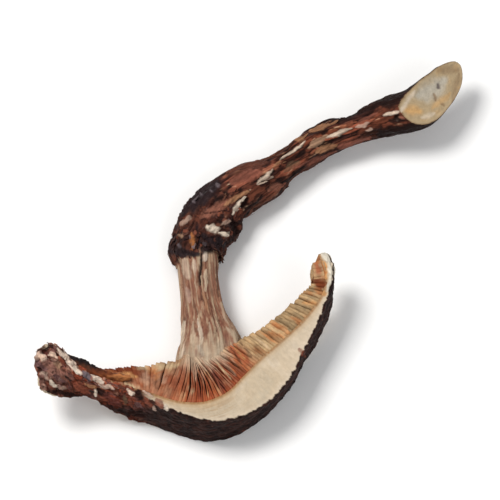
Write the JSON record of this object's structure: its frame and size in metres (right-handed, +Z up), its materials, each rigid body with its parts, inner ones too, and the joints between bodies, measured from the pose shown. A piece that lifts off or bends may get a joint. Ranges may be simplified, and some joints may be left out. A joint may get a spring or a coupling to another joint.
{
  "type": "dried matsutake slice",
  "caption": "Curled lengthwise slice of a dried matsutake: cap wedge with skin and gills, and a bent, trimmed stem.",
  "frame": {"origin": "middle of the footprint, on the surface that the slice lies on", "axes": "+X along the slice's widest reach, from the cap's torn margin to the stem's butt; +Y from the cap to the butt; +Z up, out of the front cut"},
  "size_m": [0.0626, 0.0577, 0.0104],
  "materials": {
    "flesh": "matte",
    "bark": "matte"
  },
  "bodies": {
    "root": {"cap": "flesh", "stem": "bark"}
  },
  "joints": []
}
